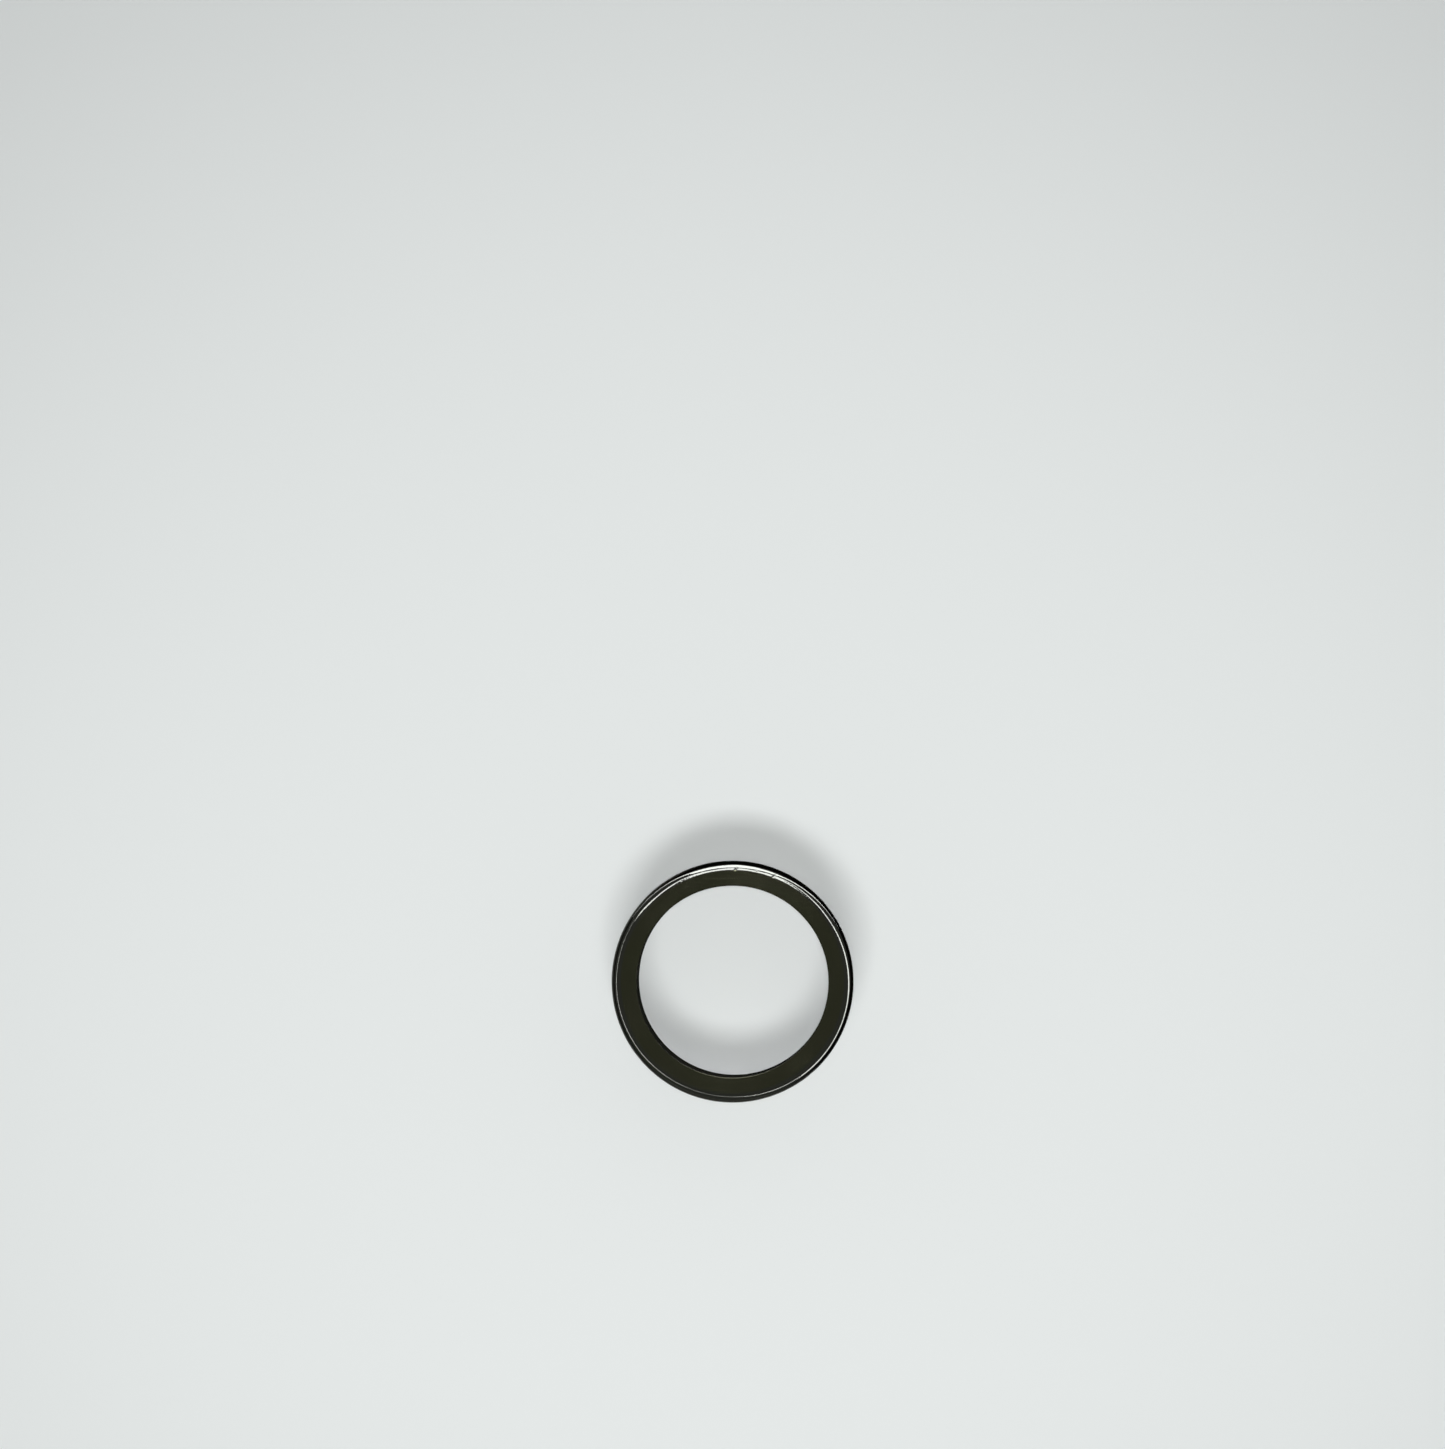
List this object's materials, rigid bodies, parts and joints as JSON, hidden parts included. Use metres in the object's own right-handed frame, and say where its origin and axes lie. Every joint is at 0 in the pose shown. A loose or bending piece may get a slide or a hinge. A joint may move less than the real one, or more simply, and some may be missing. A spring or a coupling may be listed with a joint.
{
  "type": "flesh tunnel",
  "caption": "Round screw-fit ear tunnel: a flat-faced flange with a rounded lip on a hollow barrel, closed behind by a thinner screw-in flange, open right through.",
  "frame": {"origin": "centre of the bore at the back face, on the surface that the tunnel lies on", "axes": "+Z along the bore from the back flange to the front face; the part is round about Z"},
  "size_m": [0.018, 0.018, 0.0108],
  "materials": {
    "coated_steel_front": "black-coated surgical steel: fine-turned face, polished lip, rim and bore",
    "coated_steel_back": "black-coated surgical steel: fine-turned back face, polished edge"
  },
  "bodies": {
    "root": {"front_tunnel": "coated_steel_front", "screw_back": "coated_steel_back"}
  },
  "joints": []
}
